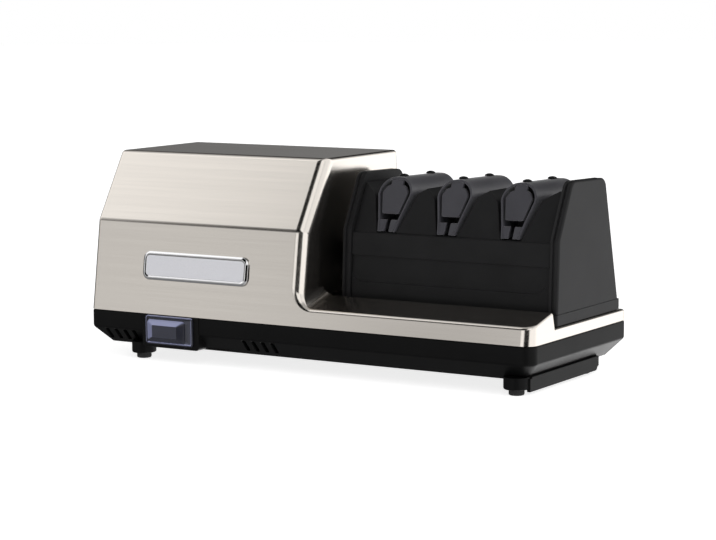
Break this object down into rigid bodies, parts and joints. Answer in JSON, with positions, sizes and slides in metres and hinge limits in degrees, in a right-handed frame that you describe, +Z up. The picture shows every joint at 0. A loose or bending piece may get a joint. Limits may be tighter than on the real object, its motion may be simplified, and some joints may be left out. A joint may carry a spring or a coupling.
{
  "type": "electric knife sharpener",
  "caption": "Electric knife sharpener with a brushed steel motor housing, a slide-off black module with V notches and sprung blade guides, and motor-driven abrasive disks",
  "frame": {"origin": "on the ground under the middle of the bounding box", "axes": "+X runs from the motor end to the sharpening end, +Y to the back wall with the cord inlet and +Z up"},
  "size_m": [0.41, 0.1722, 0.1675],
  "materials": {
    "steel": "brushed",
    "black_moulding": "fine texture",
    "grey_moulding": "satin",
    "rubber": "matt",
    "chrome_plate": "polished",
    "boot": "translucent",
    "rocker": "gloss",
    "cast_metal": "as cast",
    "laminations": "varnished",
    "copper": "varnished wire",
    "turned_steel": "turned",
    "abrasive": "grit coated",
    "bronze": "sintered"
  },
  "bodies": {
    "root": {"steel_cover": "steel", "base_shell": "black_moulding", "rubber_foot_front_left": "rubber", "rubber_foot_front_right": "rubber", "rubber_foot_rear_left": "rubber", "rubber_foot_rear_right": "rubber", "nameplate": "chrome_plate", "switch_body": "black_moulding", "switch_boot": "boot", "cord_inlet": "rubber", "stator_stack": "laminations", "winding_left": "copper", "winding_right": "copper", "end_bell_left": "cast_metal", "end_bell_right": "cast_metal", "bearing_left": "turned_steel", "bearing_right": "turned_steel", "motor_cradle": "cast_metal", "motor_mount_1": "rubber", "motor_mount_2": "rubber", "motor_mount_3": "rubber", "motor_mount_4": "rubber"},
    "rotor": {"motor_shaft": "turned_steel", "rotor_core": "laminations", "cooling_fan": "black_moulding", "drive_coupling": "grey_moulding"},
    "rocker": {"switch_rocker": "rocker"},
    "module": {"module_housing": "black_moulding", "module_left_cheek": "black_moulding", "module_right_cheek": "grey_moulding", "module_pan": "black_moulding", "guide_spring_1": "grey_moulding", "guide_spring_2": "grey_moulding", "guide_spring_3": "grey_moulding", "ridge_screw_1": "black_moulding", "ridge_screw_2": "black_moulding", "ridge_screw_3": "black_moulding", "ridge_screw_4": "black_moulding", "ridge_screw_5": "black_moulding", "ridge_screw_6": "black_moulding", "spindle_bearing_left": "bronze", "spindle_bearing_right": "bronze"},
    "spindle": {"spindle_shaft": "turned_steel", "driven_coupling": "grey_moulding", "disk_spring_1_left": "turned_steel", "disk_spring_1_right": "turned_steel", "disk_spring_2_left": "turned_steel", "disk_spring_2_right": "turned_steel", "disk_spring_3_left": "turned_steel", "disk_spring_3_right": "turned_steel"},
    "abrasive_1_left": {"disk_1_left": "abrasive"},
    "abrasive_1_right": {"disk_1_right": "abrasive"},
    "abrasive_2_left": {"disk_2_left": "abrasive"},
    "abrasive_2_right": {"disk_2_right": "abrasive"},
    "abrasive_3_left": {"disk_3_left": "abrasive"},
    "abrasive_3_right": {"disk_3_right": "abrasive"}
  },
  "joints": [
    {"name": "rotor_spin", "type": "hinge", "parent": "root", "child": "rotor", "pos_m": [0, 0.0188, 0.086], "axis": [1, 0, 0], "continuous": true},
    {"name": "rocker_tilt", "type": "hinge", "parent": "root", "child": "rocker", "pos_m": [-0.1284, -0.0764, 0.0254], "axis": [0, 0, 1], "range_deg": [0, 12]},
    {"name": "module_slide", "type": "slide", "parent": "root", "child": "module", "axis": [1, 0, 0], "range_m": [0, 0.205]},
    {"name": "spindle_spin", "type": "hinge", "parent": "module", "child": "spindle", "pos_m": [0, 0.0188, 0.086], "axis": [1, 0, 0], "continuous": true},
    {"name": "disk_slide_1_left", "type": "slide", "parent": "spindle", "child": "abrasive_1_left", "axis": [-1, 0, 0], "range_m": [0, 0.0015], "stiffness_N_per_m": 2000, "deforming": ["disk_spring_1_left"]},
    {"name": "disk_slide_1_right", "type": "slide", "parent": "spindle", "child": "abrasive_1_right", "axis": [1, 0, 0], "range_m": [0, 0.0015], "stiffness_N_per_m": 2000, "deforming": ["disk_spring_1_right"]},
    {"name": "disk_slide_2_left", "type": "slide", "parent": "spindle", "child": "abrasive_2_left", "axis": [-1, 0, 0], "range_m": [0, 0.0015], "stiffness_N_per_m": 2000, "deforming": ["disk_spring_2_left"]},
    {"name": "disk_slide_2_right", "type": "slide", "parent": "spindle", "child": "abrasive_2_right", "axis": [1, 0, 0], "range_m": [0, 0.0015], "stiffness_N_per_m": 2000, "deforming": ["disk_spring_2_right"]},
    {"name": "disk_slide_3_left", "type": "slide", "parent": "spindle", "child": "abrasive_3_left", "axis": [-1, 0, 0], "range_m": [0, 0.0015], "stiffness_N_per_m": 2000, "deforming": ["disk_spring_3_left"]},
    {"name": "disk_slide_3_right", "type": "slide", "parent": "spindle", "child": "abrasive_3_right", "axis": [1, 0, 0], "range_m": [0, 0.0015], "stiffness_N_per_m": 2000, "deforming": ["disk_spring_3_right"]}
  ],
  "couplings": [
    {"joint": "spindle_spin", "follows": "rotor_spin", "ratio": 1}
  ]
}
